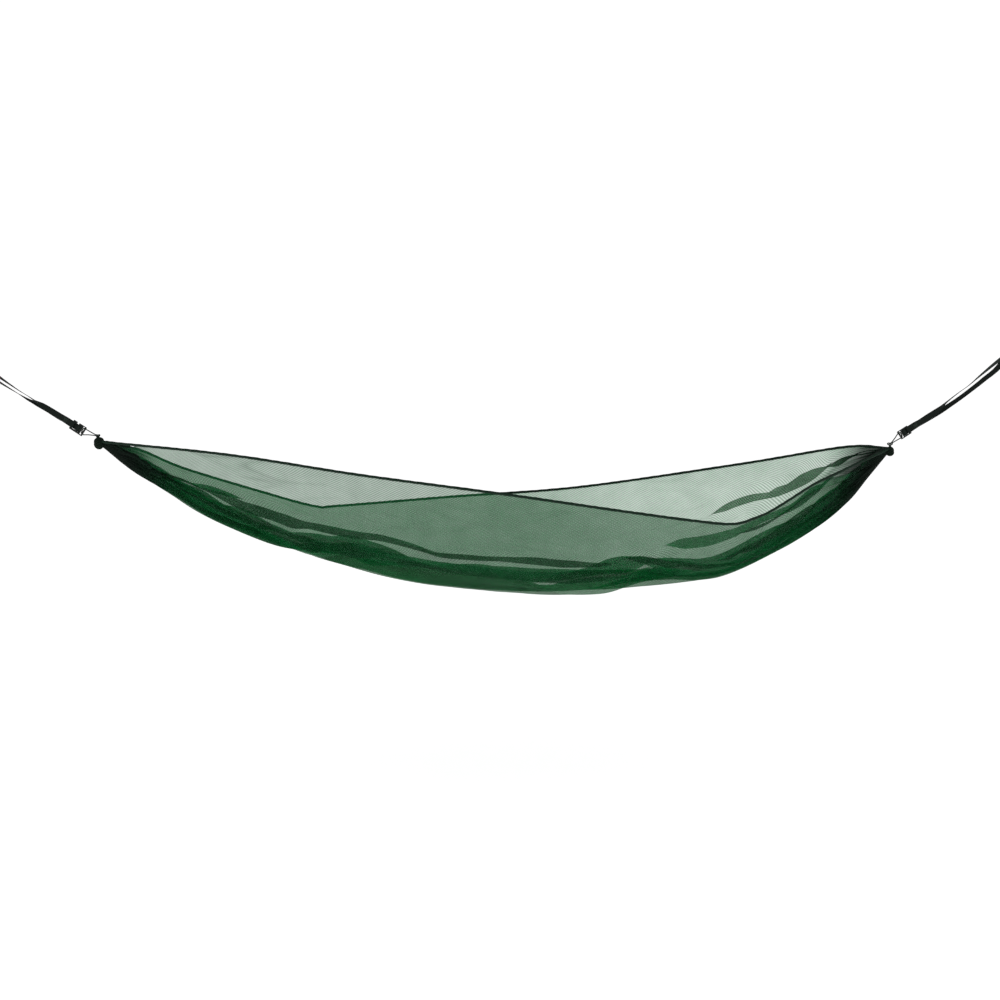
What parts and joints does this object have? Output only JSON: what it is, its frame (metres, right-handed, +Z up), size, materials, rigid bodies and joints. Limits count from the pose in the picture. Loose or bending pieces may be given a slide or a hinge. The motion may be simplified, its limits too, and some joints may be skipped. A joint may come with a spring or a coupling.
{
  "type": "camping hammock",
  "caption": "Gathered-end hammock of see-through mesh cloth with rolled hems, drawcords, ladder-lock buckles and webbing loops that go round posts.",
  "frame": {"origin": "on the level hang line, halfway between the two posts that the strap loops go round", "axes": "+X along the hammock to the right as seen from the near side, +Z up, so -Y is the near side"},
  "size_m": [3.3766, 0.6237, 0.7936],
  "materials": {
    "mesh_cloth": "matte",
    "hem_cloth": "matte",
    "webbing": "matte",
    "cord": "matte",
    "thread": "matte",
    "black_plastic": "satin"
  },
  "bodies": {
    "anchors": {"left_strap_loop": "webbing", "right_strap_loop": "webbing"},
    "swing": {"bed_fabric": "mesh_cloth", "near_hem": "hem_cloth", "far_hem": "hem_cloth", "left_end_channel": "hem_cloth", "right_end_channel": "hem_cloth", "left_strap_upper": "webbing", "left_strap_lower": "webbing", "left_strap_tail": "webbing", "left_strap_bartack": "thread", "right_strap_upper": "webbing", "right_strap_lower": "webbing", "right_strap_tail": "webbing", "right_strap_bartack": "thread"},
    "left_buckle": {"left_buckle": "black_plastic", "left_strap_wrap": "webbing"},
    "left_cord": {"left_drawcord": "cord", "left_cord_knot": "cord"},
    "right_buckle": {"right_buckle": "black_plastic", "right_strap_wrap": "webbing"},
    "right_cord": {"right_drawcord": "cord", "right_cord_knot": "cord"}
  },
  "joints": [
    {"name": "hammock_swing", "type": "hinge", "parent": "anchors", "child": "swing", "pos_m": [0, 0, 0], "axis": [1, 0, 0], "range_deg": [-30, 30]},
    {"name": "left_buckle_tilt", "type": "hinge", "parent": "swing", "child": "left_buckle", "pos_m": [-1.25717, 0, -0.25844], "axis": [-0.5446, 0, -0.8387], "range_deg": [0, 25]},
    {"name": "left_cord_fold", "type": "hinge", "parent": "left_buckle", "child": "left_cord", "pos_m": [-1.2232, 0, -0.2805], "axis": [-0.5446, 0, -0.8387], "range_deg": [-50, 0]},
    {"name": "right_buckle_tilt", "type": "hinge", "parent": "swing", "child": "right_buckle", "pos_m": [1.2766, 0, -0.27457], "axis": [-0.5446, 0, 0.8387], "range_deg": [0, 25]},
    {"name": "right_cord_fold", "type": "hinge", "parent": "right_buckle", "child": "right_cord", "pos_m": [1.2506, 0, -0.29145], "axis": [-0.5446, 0, 0.8387], "range_deg": [-50, 0]}
  ],
  "couplings": [
    {"joint": "left_cord_fold", "follows": "left_buckle_tilt", "ratio": -1.9375},
    {"joint": "right_cord_fold", "follows": "right_buckle_tilt", "ratio": -1.7707}
  ]
}
